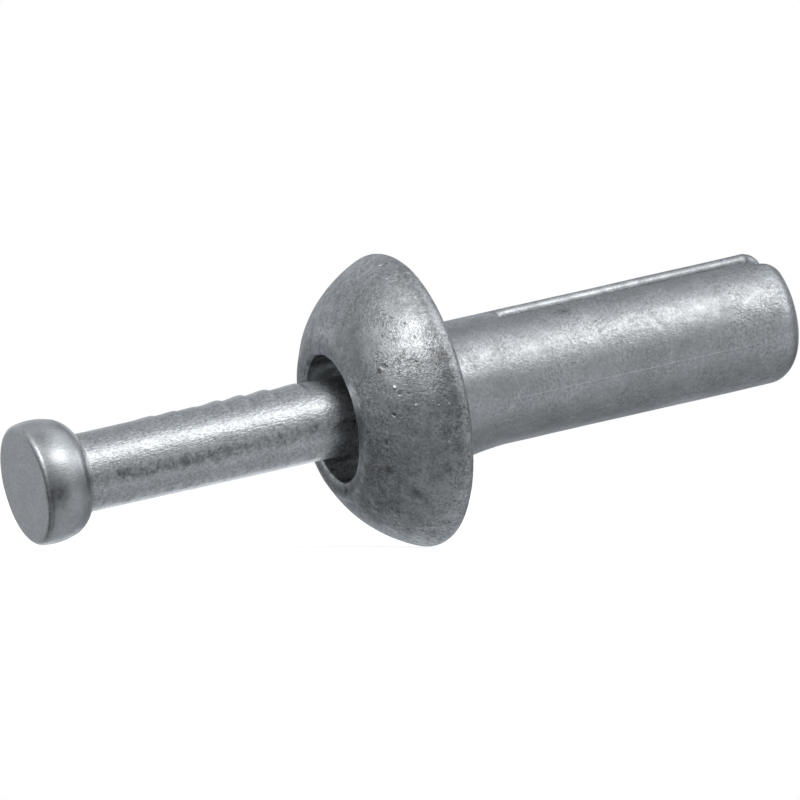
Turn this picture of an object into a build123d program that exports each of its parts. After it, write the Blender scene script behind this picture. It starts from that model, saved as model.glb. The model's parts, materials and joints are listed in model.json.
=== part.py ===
from build123d import *
import math
import os

# Hammer drive anchor, nominal 1/4 in by 3/4 in, mushroom head, as supplied:
# a one-piece die-cast zinc alloy body and a loose steel drive nail that has
# been started in its bore.  Millimetres.  Both pieces are turned about one
# axis; s is the distance along it, 0 in the widest plane of the mushroom
# head, positive towards the split end, and r is the distance from it.

# ---- expansion body -------------------------------------------------------
sleeve_r = 3.175            # 1/4 in sleeve
sleeve_end_s = 19.77        # end face of the split end
end_round_r = 1.765         # large round on the split end
end_face_r = 2.30           # where that round meets the flat end face
dome_arc_r = 6.36           # radius of the domed top
dome_arc_s = 1.95           # centre of that arc, along the axis
dome_arc_rr = 1.13          # centre of that arc, out from the axis
mouth_s = -3.77             # flat crest round the mouth of the recess
crest_round_r = 0.60        # dome to crest
under_s = 0.45              # flat underside of the head
rim_round_r = 0.62          # rounded rim
root_round_r = 0.30         # underside to sleeve
recess_r = 3.04             # recess that the nail's head sinks into
recess_depth = 2.95
mouth_edge_r = 0.14         # softened edge of the mouth
bore_r = 2.00               # through bore, running fit on the shank
slot_width = 0.93           # slot that splits the sleeve into two legs
slot_start_s = 5.70
slot_edge_r = 0.30          # rounded edges of the slot
slot_angle = 12.5           # slot plane, turned from up towards the -Y side
slot_mouth = ((1.75, 0.0), (1.40, 0.34), (0.0, 0.46))  # corners of the legs: back from the end, cut off each side
body_seam_angle = 65.25     # where the turned surfaces of the casting close

# ---- drive nail -----------------------------------------------------------
nail_face_s = -20.02        # outer face of the nail's head, as supplied
nail_head_ball_r = 2.985    # side of the head is part of a ball ...
nail_head_ball_s = 0.886    # ... whose centre is this far behind the face
nail_face_edge_r = 0.33     # rounded edge of the face
nail_neck_arc_r = 1.457     # head to shank
nail_neck_arc_s = 1.372
nail_neck_arc_rr = 1.460
nail_shank_r = 1.908
nail_length = 23.80         # face to point
nail_point_len = 1.70       # short taper at the end
nail_point_r = 0.95
nail_point_edge_r = 0.25
nail_seam_angle = 1.72

# ---- derived points -------------------------------------------------------


def on_arc(cr, cs, radius, r=None, s=None, outer=True):
    """Point of a circle at a given r or s, on the side away from the axis."""
    if s is not None:
        return (cr + math.sqrt(radius ** 2 - (s - cs) ** 2), s)
    d = math.sqrt(radius ** 2 - (r - cr) ** 2)
    return (r, cs + d if outer else cs - d)


def inner_fillet(cr, cs, radius, plane_s, rho, side):
    """Arc of radius rho inside a circle and touching the plane s = plane_s.

    side is +1 where the material is at s above the plane.  Gives the centre,
    the point on the circle, the middle point and the point on the plane.
    """
    fs = plane_s + side * rho
    fr = cr + math.sqrt((radius - rho) ** 2 - (fs - cs) ** 2)
    d = math.hypot(fr - cr, fs - cs)
    ur, us = (fr - cr) / d, (fs - cs) / d
    on_circle = (fr + rho * ur, fs + rho * us)
    on_plane = (fr, plane_s)
    mr, ms = ur, us - side
    m = math.hypot(mr, ms)
    middle = (fr + rho * mr / m, fs + rho * ms / m)
    return (fr, fs), on_circle, middle, on_plane


def arc_mid(cr, cs, radius, p, q):
    """Middle point of the shorter arc from p to q about (cr, cs)."""
    mr, ms = (p[0] + q[0]) / 2 - cr, (p[1] + q[1]) / 2 - cs
    m = math.hypot(mr, ms)
    return (cr + radius * mr / m, cs + radius * ms / m)


rim_c, rim_a, rim_m, rim_b = inner_fillet(
    dome_arc_rr, dome_arc_s, dome_arc_r, under_s, rim_round_r, -1)
crest_c, crest_a, crest_m, crest_b = inner_fillet(
    dome_arc_rr, dome_arc_s, dome_arc_r, mouth_s, crest_round_r, +1)
end_c = (sleeve_r - end_round_r, sleeve_end_s - 1.525)
end_a = (sleeve_r, end_c[1])
end_b = (end_c[0] + math.sqrt(end_round_r ** 2 - 1.525 ** 2), sleeve_end_s)
face_c, face_a, face_m, face_b = inner_fillet(
    0.0, nail_head_ball_s, nail_head_ball_r, 0.0, nail_face_edge_r, +1)
neck_a = on_arc(0.0, nail_head_ball_s, nail_head_ball_r, s=1.838)
neck_b = (nail_shank_r, nail_neck_arc_s + math.sqrt(
    nail_neck_arc_r ** 2 - (nail_shank_r - nail_neck_arc_rr) ** 2))
recess_floor_s = mouth_s + recess_depth

# Lying on the rim of the mushroom head and the edge of the nail's head, the
# axis leans up towards the split end.  The lowest point of the nail's head
# is on the ball, that of the body is on the rounded rim; both are level.
lo, hi = math.radians(2), math.radians(30)
for _ in range(80):
    mid = (lo + hi) / 2
    z_nail = (nail_face_s + nail_head_ball_s) * math.sin(mid) - nail_head_ball_r
    z_rim = rim_c[1] * math.sin(mid) - rim_c[0] * math.cos(mid) - rim_round_r
    if z_nail > z_rim:
        lo = mid
    else:
        hi = mid
tilt = (lo + hi) / 2
floor_z = rim_c[1] * math.sin(tilt) - rim_c[0] * math.cos(tilt) - rim_round_r


def body_solid():
    with BuildPart() as p:
        with BuildSketch(Plane.XZ):
            with BuildLine():
                # outside, from the mouth round to the split end
                m1 = (recess_r + mouth_edge_r, mouth_s)
                m2 = (recess_r, mouth_s + mouth_edge_r)
                k = mouth_edge_r * (1 - math.sqrt(0.5))
                ThreePointArc(m2, (recess_r + k, mouth_s + k), m1)
                Line(m1, crest_b)
                ThreePointArc(crest_b, crest_m, crest_a)
                ThreePointArc(crest_a, arc_mid(dome_arc_rr, dome_arc_s, dome_arc_r, crest_a, rim_a), rim_a)
                ThreePointArc(rim_a, rim_m, rim_b)
                u1 = (sleeve_r + root_round_r, under_s)
                u2 = (sleeve_r, under_s + root_round_r)
                Line(rim_b, u1)
                k = root_round_r * (1 - math.sqrt(0.5))
                ThreePointArc(u1, (sleeve_r + k, under_s + k), u2)
                Line(u2, end_a)
                ThreePointArc(end_a, arc_mid(end_c[0], end_c[1], end_round_r, end_a, end_b), end_b)
                # inside, back up the bore to the recess
                e1 = (bore_r + 0.12, sleeve_end_s)
                e2 = (bore_r, sleeve_end_s - 0.12)
                Line(end_b, e1)
                Line(e1, e2)
                f1 = (bore_r, recess_floor_s + 0.15)
                f2 = (bore_r + 0.15, recess_floor_s)
                Line(e2, f1)
                Line(f1, f2)
                g1 = (recess_r - 0.25, recess_floor_s)
                g2 = (recess_r, recess_floor_s - 0.25)
                Line(f2, g1)
                k = 0.25 * (1 - math.sqrt(0.5))
                ThreePointArc(g1, (recess_r - k, recess_floor_s - k), g2)
                Line(g2, m2)
            make_face()
        revolve(axis=Axis.Z)

        # slot: straight walls that roll over into the outside with a round,
        # the same section on both sides of the axis
        h = slot_width / 2
        q = slot_edge_r
        tc = h + q                                   # centre of the round, across
        rc = math.sqrt((sleeve_r - q) ** 2 - tc ** 2)  # centre of the round, out
        d = math.hypot(rc, tc)
        tp = (rc * sleeve_r / d, tc * sleeve_r / d)  # touches the outside here
        mx, my = rc / d, tc / d - 1.0
        m = math.hypot(mx, my)
        mp = (rc + q * mx / m, tc + q * my / m)
        far = sleeve_r + 1.0
        turn = slot_angle - body_seam_angle
        with BuildSketch(Plane.XY.offset(slot_start_s).rotated((0, 0, turn))):
            with BuildLine():
                Line((rc, h), (-rc, h))
                ThreePointArc((-rc, h), (-mp[0], mp[1]), (-tp[0], tp[1]))
                Polyline((-tp[0], tp[1]), (-far, tp[1] + 0.15), (-far, -tp[1] - 0.15), (-tp[0], -tp[1]))
                ThreePointArc((-tp[0], -tp[1]), (-mp[0], -mp[1]), (-rc, -h))
                Line((-rc, -h), (rc, -h))
                ThreePointArc((rc, -h), (mp[0], -mp[1]), (tp[0], -tp[1]))
                Polyline((tp[0], -tp[1]), (far, -tp[1] - 0.15), (far, tp[1] + 0.15), (tp[0], tp[1]))
                ThreePointArc((tp[0], tp[1]), mp, (rc, h))
            make_face()
        extrude(amount=sleeve_end_s - slot_start_s + 2.0, mode=Mode.SUBTRACT)
        # the closed end of the slot runs out to the surface over a short ramp
        for sgn in (1, -1):
            with BuildSketch(Plane.XZ.rotated((0, turn, 0))):
                with BuildLine():
                    a = (sgn * (sleeve_r - 0.30), slot_start_s + 0.02)
                    b = (sgn * (sleeve_r + 0.20), slot_start_s - 0.34)
                    c = (sgn * (sleeve_r + 0.20), slot_start_s + 0.02)
                    Polyline(a, b, c, close=True)
                make_face()
            extrude(amount=slot_width / 2, both=True, mode=Mode.SUBTRACT)
        # the corners of the legs are cut away towards the nose, which opens
        # the mouth of the slot
        with BuildSketch(Plane.YZ.rotated((0, turn, 0))):
            with BuildLine():
                side = [(h + w, sleeve_end_s - back) for back, w in slot_mouth]
                side.append((side[-1][0], sleeve_end_s + 1.0))
                ring = side + [(-c, s) for c, s in reversed(side)]
                Polyline(*ring, close=True)
            make_face()
        extrude(amount=sleeve_r + 1.0, both=True, mode=Mode.SUBTRACT)
    return p.part


def nail_solid():
    with BuildPart() as p:
        with BuildSketch(Plane.XZ):
            with BuildLine():
                s0 = nail_face_s

                def at(pt):
                    return (pt[0], pt[1] + s0)

                Line((0, s0), at(face_b))
                ThreePointArc(at(face_b), at(face_m), at(face_a))
                ThreePointArc(at(face_a), at(arc_mid(0.0, nail_head_ball_s, nail_head_ball_r, face_a, neck_a)), at(neck_a))
                ThreePointArc(at(neck_a), at(arc_mid(nail_neck_arc_rr, nail_neck_arc_s, nail_neck_arc_r, neck_a, neck_b)), at(neck_b))
                t1 = (nail_shank_r, s0 + nail_length - nail_point_len)
                t2 = (nail_point_r, s0 + nail_length - nail_point_edge_r)
                t3 = (nail_point_r - nail_point_edge_r, s0 + nail_length)
                Line(at(neck_b), t1)
                Line(t1, t2)
                Line(t2, t3)
                Line(t3, (0, s0 + nail_length))
                Line((0, s0 + nail_length), (0, s0))
            make_face()
        revolve(axis=Axis.Z)
    return p.part


body = body_solid()
nail = nail_solid()

# turn the pieces to their place round the axis, then lay the axis down
body = Rot(0, 0, body_seam_angle) * body
nail = Rot(0, 0, nail_seam_angle) * nail
lay = Plane(origin=(0, 0, 0),
            x_dir=(-math.sin(tilt), 0, math.cos(tilt)),
            z_dir=(math.cos(tilt), 0, math.sin(tilt))).location
body = lay * body
nail = lay * nail
x_low = min(body.bounding_box().min.X, nail.bounding_box().min.X)
x_high = max(body.bounding_box().max.X, nail.bounding_box().max.X)
shift = Pos(-(x_low + x_high) / 2, 0, -floor_z)
body = shift * body
nail = shift * nail

os.makedirs("parts", exist_ok=True)
export_step(body, "parts/anchor_body.step")
export_step(nail, "parts/drive_nail.step")

# positions for the record, metres
ox, oz = -(x_low + x_high) / 2, -floor_z


def at_axis(s):
    return [round((ox + s * math.cos(tilt)) / 1000, 6), 0.0, round((oz + s * math.sin(tilt)) / 1000, 6)]


print("tilt deg", math.degrees(tilt))
print("axis", math.cos(tilt), 0, math.sin(tilt))
print("rim plane centre (m)", at_axis(0))
print("underside centre (m)", at_axis(under_s))
print("sleeve pin middle (m)", at_axis((under_s + root_round_r + end_a[1]) / 2),
      "length mm", end_a[1] - under_s - root_round_r)
print("mouth centre (m)", at_axis(mouth_s))
print("travel mm", mouth_s - nail_face_s)
for name, solid in (("anchor_body", body), ("drive_nail", nail)):
    bb = solid.bounding_box()
    print(name, "volume %.3f mm3" % solid.volume, "valid", solid.is_valid, "box", bb.min, bb.max,
          "centre", solid.center(CenterOf.MASS))
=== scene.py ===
import json
import math

import bpy
import numpy as np
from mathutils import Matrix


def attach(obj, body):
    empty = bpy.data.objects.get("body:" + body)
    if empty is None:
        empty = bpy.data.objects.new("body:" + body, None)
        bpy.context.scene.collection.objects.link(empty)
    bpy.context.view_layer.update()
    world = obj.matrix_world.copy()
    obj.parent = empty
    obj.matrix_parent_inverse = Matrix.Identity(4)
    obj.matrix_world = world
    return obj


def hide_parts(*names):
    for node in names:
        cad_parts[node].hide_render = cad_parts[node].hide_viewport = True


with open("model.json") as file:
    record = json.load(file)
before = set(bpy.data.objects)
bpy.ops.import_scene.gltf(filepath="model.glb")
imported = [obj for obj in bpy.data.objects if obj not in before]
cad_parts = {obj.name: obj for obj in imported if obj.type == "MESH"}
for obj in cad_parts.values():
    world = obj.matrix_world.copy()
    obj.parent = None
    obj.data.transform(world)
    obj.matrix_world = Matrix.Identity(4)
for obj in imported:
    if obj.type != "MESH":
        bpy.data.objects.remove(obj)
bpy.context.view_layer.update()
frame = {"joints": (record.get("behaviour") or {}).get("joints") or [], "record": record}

# Hammer drive anchor.  Sizes are millimetres along and out from the anchor's
# own axis: s = 0 in the widest plane of the mushroom head, positive towards
# the split end, r out from the axis.
MM = 0.001

# ---------------------------------------------------------------- frame
joint = frame["joints"][0]
AX = np.array(joint["axis"], float)
AX /= np.linalg.norm(AX)
under = [m for m in frame["record"]["mounts"] if m["name"] == "under_head"][0]
UNDER_S = 0.45
ORIGIN = np.array(under["pos_m"], float) - UNDER_S * MM * AX
E1 = np.array([-AX[2], 0.0, AX[0]])       # square to the axis, upwards
E2 = np.array([0.0, -1.0, 0.0])           # square to the axis, to the front


def to_world(x, y, s):
    """Points given along E1, E2 and the axis, in mm, as row-frame metres."""
    return (ORIGIN[None] + MM * (x[:, None] * E1[None] + y[:, None] * E2[None]
                                 + s[:, None] * AX[None]))


def smooth(x, a, b):
    t = np.clip((x - a) / (b - a), 0.0, 1.0)
    return t * t * (3 - 2 * t)


# ---------------------------------------------------------------- noise
class Noise:
    """Seeded gradient noise over points in space."""

    def __init__(self, seed):
        rng = np.random.RandomState(seed)
        self.perm = np.concatenate([rng.permutation(256)] * 2).astype(np.int64)
        g = rng.normal(size=(256, 3))
        self.grad = g / np.linalg.norm(g, axis=1)[:, None]

    def __call__(self, p):
        i = np.floor(p).astype(np.int64)
        f = p - i
        w = f * f * f * (f * (f * 6 - 15) + 10)
        i &= 255
        out = np.zeros(len(p))
        for dx in (0, 1):
            for dy in (0, 1):
                for dz in (0, 1):
                    h = self.perm[(self.perm[(self.perm[(i[:, 0] + dx) & 255]
                                              + i[:, 1] + dy) & 255]
                                   + i[:, 2] + dz) & 255]
                    g = self.grad[h]
                    d = ((f[:, 0] - dx) * g[:, 0] + (f[:, 1] - dy) * g[:, 1]
                         + (f[:, 2] - dz) * g[:, 2])
                    k = ((w[:, 0] if dx else 1 - w[:, 0])
                         * (w[:, 1] if dy else 1 - w[:, 1])
                         * (w[:, 2] if dz else 1 - w[:, 2]))
                    out += k * d
        return out * 1.6

    def fbm(self, p, octaves):
        total, amp = np.zeros(len(p)), 1.0
        for o in range(octaves):
            total += amp * self(p * 2.0 ** o + 17.3 * o)
            amp *= 0.5
        return total


# ------------------------------------------------- turned profile of the body
SLEEVE_R, END_S, END_ROUND = 3.175, 19.75, 1.20
DOME_R, DOME_S, DOME_RR = 6.36, 1.95, 1.13
MOUTH_S, CREST_ROUND, RIM_ROUND, ROOT_ROUND = -3.77, 0.60, 0.62, 0.30
RECESS_R, RECESS_DEPTH, MOUTH_EDGE, BORE_R = 3.04, 2.95, 0.14, 2.00
SLOT_W, SLOT_START, SLOT_EDGE = 0.80, 5.42, 0.42
SLOT_ANGLE = math.radians(12.5)
SEAM_ANGLE = math.radians(106.5)          # where the halves of the mould meet


def inner_fillet(cr, cs, radius, plane_s, rho, side):
    fs = plane_s + side * rho
    fr = cr + math.sqrt((radius - rho) ** 2 - (fs - cs) ** 2)
    d = math.hypot(fr - cr, fs - cs)
    return (fr, fs), (fr + rho * (fr - cr) / d, fs + rho * (fs - cs) / d), (fr, plane_s)


rim_c, rim_a, rim_b = inner_fillet(DOME_RR, DOME_S, DOME_R, UNDER_S, RIM_ROUND, -1)
crest_c, crest_a, crest_b = inner_fillet(DOME_RR, DOME_S, DOME_R, MOUTH_S, CREST_ROUND, +1)
BORE_CH = 0.12
END_NOSE = 1.185                          # how far the round runs back along the sleeve
end_c = (SLEEVE_R - END_ROUND, END_S - END_NOSE)
end_b = (end_c[0] + math.sqrt(END_ROUND ** 2 - END_NOSE ** 2), END_S)
FLOOR_S = MOUTH_S + RECESS_DEPTH

# ("line", p, q) and ("arc", centre, radius, angle from, angle to), in (r, s)


def ang(c, p):
    return math.atan2(p[1] - c[1], p[0] - c[0])


PROFILE = [
    ("arc", (RECESS_R + MOUTH_EDGE, MOUTH_S + MOUTH_EDGE), MOUTH_EDGE, -math.pi, -math.pi / 2),
    ("line", (RECESS_R + MOUTH_EDGE, MOUTH_S), crest_b),
    ("arc", crest_c, CREST_ROUND, -math.pi / 2, ang(crest_c, crest_a)),
    ("arc", (DOME_RR, DOME_S), DOME_R, ang((DOME_RR, DOME_S), crest_a), ang((DOME_RR, DOME_S), rim_a)),
    ("arc", rim_c, RIM_ROUND, ang(rim_c, rim_a), math.pi / 2),
    ("line", rim_b, (SLEEVE_R + ROOT_ROUND, UNDER_S)),
    ("arc", (SLEEVE_R + ROOT_ROUND, UNDER_S + ROOT_ROUND), ROOT_ROUND, -math.pi, -math.pi / 2),
    ("line", (SLEEVE_R, UNDER_S + ROOT_ROUND), (SLEEVE_R, end_c[1])),
    ("arc", end_c, END_ROUND, 0.0, ang(end_c, end_b)),
    ("line", end_b, (BORE_R + BORE_CH, END_S)),
    ("line", (BORE_R + BORE_CH, END_S), (BORE_R, END_S - BORE_CH)),
    ("line", (BORE_R, END_S - BORE_CH), (BORE_R, FLOOR_S + 0.15)),
    ("line", (BORE_R, FLOOR_S + 0.15), (BORE_R + 0.15, FLOOR_S)),
    ("line", (BORE_R + 0.15, FLOOR_S), (RECESS_R - 0.25, FLOOR_S)),
    ("arc", (RECESS_R - 0.25, FLOOR_S - 0.25), 0.25, 0.0, math.pi / 2),
    ("line", (RECESS_R, FLOOR_S - 0.25), (RECESS_R, MOUTH_S + MOUTH_EDGE)),
]


def outer_r(s):
    """Outside radius at s, for points between the mouth and the split end."""
    out = np.full_like(s, SLEEVE_R)
    m = s <= crest_a[1]
    out[m] = crest_c[0] + np.sqrt(np.maximum(CREST_ROUND ** 2 - (s[m] - crest_c[1]) ** 2, 0))
    m = (s > crest_a[1]) & (s <= rim_a[1])
    out[m] = DOME_RR + np.sqrt(np.maximum(DOME_R ** 2 - (s[m] - DOME_S) ** 2, 0))
    m = (s > rim_a[1]) & (s <= UNDER_S)
    out[m] = rim_c[0] + np.sqrt(np.maximum(RIM_ROUND ** 2 - (s[m] - rim_c[1]) ** 2, 0))
    m = (s > UNDER_S) & (s < UNDER_S + ROOT_ROUND)
    out[m] = SLEEVE_R + ROOT_ROUND - np.sqrt(np.maximum(ROOT_ROUND ** 2 - (s[m] - UNDER_S - ROOT_ROUND) ** 2, 0))
    m = s > end_c[1]
    out[m] = end_c[0] + np.sqrt(np.maximum(END_ROUND ** 2 - (s[m] - end_c[1]) ** 2, 0))
    return out


def inner_r(s):
    out = np.full_like(s, BORE_R)
    m = s < MOUTH_S + MOUTH_EDGE
    out[m] = RECESS_R + MOUTH_EDGE - np.sqrt(np.maximum(MOUTH_EDGE ** 2 - (s[m] - MOUTH_S - MOUTH_EDGE) ** 2, 0))
    m = (s >= MOUTH_S + MOUTH_EDGE) & (s < FLOOR_S - 0.25)
    out[m] = RECESS_R
    m = (s >= FLOOR_S - 0.25) & (s < FLOOR_S)
    out[m] = RECESS_R - 0.25 + np.sqrt(np.maximum(0.0625 - (s[m] - FLOOR_S + 0.25) ** 2, 0))
    m = (s >= FLOOR_S) & (s < FLOOR_S + 0.15)
    out[m] = BORE_R + 0.15 - (s[m] - FLOOR_S)
    m = s > END_S - BORE_CH
    out[m] = BORE_R + (s[m] - END_S + BORE_CH)
    return out


def profile_distance(r, s):
    """Signed distance in the (r, s) half plane, negative in the metal."""
    best = np.full(r.shape, 1e9)
    for e in PROFILE:
        if e[0] == "line":
            p, q = np.array(e[1]), np.array(e[2])
            v = q - p
            t = np.clip(((r - p[0]) * v[0] + (s - p[1]) * v[1]) / (v @ v), 0, 1)
            d = (r - p[0] - t * v[0]) ** 2 + (s - p[1] - t * v[1]) ** 2
        else:
            c, rad, a0, a1 = e[1:]
            a = np.arctan2(s - c[1], r - c[0])
            mid, half = (a0 + a1) / 2, abs(a1 - a0) / 2
            da = np.abs((a - mid + math.pi) % (2 * math.pi) - math.pi)
            on = (np.hypot(r - c[0], s - c[1]) - rad) ** 2
            ends = np.minimum(*[(r - c[0] - rad * math.cos(k)) ** 2
                                + (s - c[1] - rad * math.sin(k)) ** 2 for k in (a0, a1)])
            d = np.where(da <= half, on, ends)
        best = np.minimum(best, d)
    best = np.sqrt(best)
    inside = (s > MOUTH_S) & (s < END_S) & (r < outer_r(s)) & (r > inner_r(s))
    return np.where(inside, -best, best)


# a fine table of that distance for the coarse search for the surface
T_STEP, T_R0, T_S0 = 0.02, 0.0, -4.6
tr = np.arange(T_R0, 10.8, T_STEP)
ts = np.arange(T_S0, 20.7, T_STEP)
TR, TS = np.meshgrid(tr, ts, indexing="ij")
TABLE = profile_distance(TR.ravel(), TS.ravel()).reshape(TR.shape)


def table_distance(r, s):
    a = (r - T_R0) / T_STEP
    b = (s - T_S0) / T_STEP
    i = np.clip(a.astype(np.int64), 0, TABLE.shape[0] - 2)
    j = np.clip(b.astype(np.int64), 0, TABLE.shape[1] - 2)
    u, v = a - i, b - j
    return ((TABLE[i, j] * (1 - u) + TABLE[i + 1, j] * u) * (1 - v)
            + (TABLE[i, j + 1] * (1 - u) + TABLE[i + 1, j + 1] * u) * v)


def slot_distance(x, c, s):
    """Signed distance of the slot, negative in the slot.  x runs out along it, c across."""
    ax = np.abs(x)
    # the corners of the legs are cut away at the split end
    near = 0.32 * smooth(s, END_S - 1.80, END_S - 1.30) + 0.03 * np.clip((s - END_S + 1.4) / 1.4, 0, 1)
    far = 0.34 * smooth(s, END_S - 1.38, END_S - 0.82) + 0.12 * np.clip((s - END_S + 0.9) / 0.9, 0, 1)
    cut = np.where(c > 0, near, far)
    wall = np.abs(c) - SLOT_W / 2 - cut
    end = np.minimum(SLOT_START - s, (SLOT_START - s - 0.68 * (ax - 2.88)) / 1.21)
    k = 0.12
    a, b = wall + k, end + k
    return np.minimum(np.maximum(wall, end), -k) + np.sqrt(np.maximum(a, 0) ** 2 + np.maximum(b, 0) ** 2)


def body_distance(x, c, s, exact):
    r = np.sqrt(x * x + c * c)
    d = profile_distance(r, s) if exact else table_distance(r, s)
    cut = -slot_distance(x, c, s)
    # edges of the slot are rounded
    q = SLOT_EDGE + 0.06 * smooth(s, 17.9, 19.5)
    a, b = d + q, cut + q
    return np.minimum(np.maximum(d, cut), -q) + np.sqrt(np.maximum(a, 0) ** 2 + np.maximum(b, 0) ** 2)


def extract(step):
    """Quads on the zero surface of body_distance over a regular grid."""
    xs = np.arange(-7.35, 7.35 + step, step)
    ss = np.arange(MOUTH_S - 0.27, END_S + 0.35, step)
    X, C = np.meshgrid(xs, xs, indexing="ij")
    val = np.empty((len(xs), len(xs), len(ss)), np.float32)
    near = np.hypot(X, C).ravel()
    for k, s in enumerate(ss):
        layer = np.full(near.shape, 1.0)
        m = near < (7.5 if s < 1.2 else 3.6)
        layer[m] = body_distance(X.ravel()[m], C.ravel()[m], np.full(m.sum(), s), False)
        val[:, :, k] = layer.reshape(X.shape)
    ins = val < 0
    n = np.array(val.shape)
    count = np.zeros(tuple(n - 1), np.int8)
    corners = [(a, b, c) for a in (0, 1) for b in (0, 1) for c in (0, 1)]
    for a, b, c in corners:
        count += ins[a:n[0] - 1 + a, b:n[1] - 1 + b, c:n[2] - 1 + c]
    mixed = (count > 0) & (count < 8)
    cells = np.argwhere(mixed)
    index = np.full(mixed.shape, -1, np.int64)
    index[mixed] = np.arange(len(cells))
    acc, cnt = np.zeros((len(cells), 3)), np.zeros(len(cells))
    for p in corners:
        for axis in range(3):
            if p[axis]:
                continue
            q = list(p)
            q[axis] = 1
            va = val[tuple((cells + p).T)]
            vb = val[tuple((cells + q).T)]
            cross = (va < 0) != (vb < 0)
            t = va / np.where(cross, va - vb, 1)
            pos = np.tile(np.array(p, float), (len(cells), 1))
            pos[:, axis] = t
            acc[cross] += pos[cross]
            cnt[cross] += 1
    grid = cells + acc / cnt[:, None]
    verts = np.stack([xs[0] + step * grid[:, 0], xs[0] + step * grid[:, 1], ss[0] + step * grid[:, 2]], 1)
    quads = []
    for axis in range(3):
        u, v = [k for k in range(3) if k != axis]
        lo = [slice(None)] * 3
        hi = [slice(None)] * 3
        lo[axis], hi[axis] = slice(0, n[axis] - 1), slice(1, n[axis])
        edge = np.argwhere(ins[tuple(lo)] != ins[tuple(hi)])
        edge = edge[(edge[:, u] > 0) & (edge[:, v] > 0) & (edge[:, u] < n[u] - 1) & (edge[:, v] < n[v] - 1)]
        du = np.zeros(3, int)
        dv = np.zeros(3, int)
        du[u], dv[v] = 1, 1
        quads.append(np.stack([index[tuple((edge - o).T)] for o in (0 * du, du, du + dv, dv)], 1))
    return verts, np.concatenate(quads)


def gradient(p, exact=True, eps=0.012):
    g = np.empty_like(p)
    for k in range(3):
        d = np.zeros(3)
        d[k] = eps
        a, b = p + d, p - d
        g[:, k] = (body_distance(a[:, 0], a[:, 1], a[:, 2], exact)
                   - body_distance(b[:, 0], b[:, 1], b[:, 2], exact)) / (2 * eps)
    return g


def edges_of(quads):
    e = np.concatenate([quads[:, [0, 1]], quads[:, [1, 2]], quads[:, [2, 3]], quads[:, [3, 0]]])
    return e


def relax(p, quads, rounds):
    e = edges_of(quads)
    a, b = e[:, 0], e[:, 1]
    n = np.bincount(a, minlength=len(p)) + np.bincount(b, minlength=len(p))
    for _ in range(rounds):
        mean = np.stack([(np.bincount(a, p[b, k], len(p)) + np.bincount(b, p[a, k], len(p))) / n
                         for k in range(3)], 1)
        p = 0.5 * p + 0.5 * mean
        p = project(p, 1)
    return p


def project(p, rounds):
    for _ in range(rounds):
        g = gradient(p)
        gg = np.maximum((g * g).sum(1), 0.05)
        d = np.clip(body_distance(p[:, 0], p[:, 1], p[:, 2], True), -0.1, 0.1)
        p = p - (d / gg)[:, None] * g
    return p


GRID_STEP = 0.128
verts, quads = extract(GRID_STEP)
verts = project(verts, 2)
verts = relax(verts, quads, 2)
verts = project(verts, 2)
g = gradient(verts)
normal = g / np.maximum(np.linalg.norm(g, axis=1), 1e-6)[:, None]
fa, fb, fc, fd = (verts[quads[:, k]] for k in range(4))
fn = np.cross(fc - fa, fd - fb)
flip = (fn * normal[quads].mean(axis=1)).sum(1) < 0
quads[flip] = quads[flip][:, ::-1]

# ---------------------------------------------------------- cast surface
vx, vc, vs = verts.T
rad = np.hypot(vx, vc)
# angle round the axis from E1 towards E2 (x lies at SLOT_ANGLE)
psi = np.arctan2(vc, vx) + SLOT_ANGLE
in_r = np.minimum(inner_r(np.clip(vs, MOUTH_S, END_S)), 3.04)
outside = smooth(rad - in_r, 0.10, 0.5)
in_head = 1 - smooth(vs, UNDER_S - 0.2, UNDER_S + 0.4)
soft, lump, fine, grit = Noise(3), Noise(5), Noise(7), Noise(9)
push = 0.012 * soft.fbm(verts / 4.2, 2) + (0.0035 + 0.0030 * in_head) * lump(verts / 1.2)
push += (0.0012 + 0.0014 * in_head) * fine(verts / 0.55) + 0.0004 * grit(verts / 0.26)
push *= 0.15 + 0.85 * outside
tone = np.ones(len(verts))

# the recess is left rough by the casting
recess = (1 - smooth(vs, FLOOR_S + 0.3, FLOOR_S + 0.9)) * (1 - smooth(rad, 3.02, 3.30))
push += recess * np.minimum(0.020 * lump(verts / 0.9 + 5) + 0.012 * fine(verts / 0.33 + 3) - 0.016, 0.004)
# painted light: the inside of the recess is lightened in lumpy streaks; painted shade darkens its upper side
tone += recess * (0.16 + 0.9 * np.maximum(lump(np.stack([vx / 0.5, vc / 0.5, vs / 1.2], 1) + 2), -0.5))
tone -= 0.22 * recess * smooth(np.cos(psi - math.radians(10)), 0.2, 0.9)

# the two halves of the mould meet in a fine line along the sleeve
on_out = smooth(rad - (outer_r(np.clip(vs, MOUTH_S + 0.01, END_S - 0.01)) - 0.25), 0.0, 0.2)
off = rad * np.sin(psi - SEAM_ANGLE)
along = smooth(vs, 3.0, 5.2) * (1 - 0.6 * smooth(vs, 14.5, 17.5))
ridge = np.exp(-(off / 0.095) ** 2) * (0.018 + 0.010 * soft(verts / 1.7 + 9)) * along
push += np.where(vs > UNDER_S + 0.4, ridge, 0.0) * on_out

# the dome is a little fuller above, and its crest rounds over into the mouth
above = smooth(np.cos(psi - math.radians(-15)), 0.1, 0.9)
push += 0.050 * above * in_head * outside * smooth(vs, -3.6, -3.0)
# painted shade along the crest round the mouth, deepest on its lower side
crest = np.exp(-((rad - 3.45) / 0.32) ** 2) * (1 - smooth(vs, -3.7, -3.3))
tone -= (0.22 + 0.20 * smooth(np.cos(psi - math.radians(185)), 0.3, 0.9)) * crest


def region(s0, s_width, psi0, psi_width):
    d = (psi - math.radians(psi0) + math.pi) % (2 * math.pi) - math.pi
    return np.exp(-((vs - s0) / s_width) ** 2 - (d / math.radians(psi_width)) ** 2)
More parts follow.
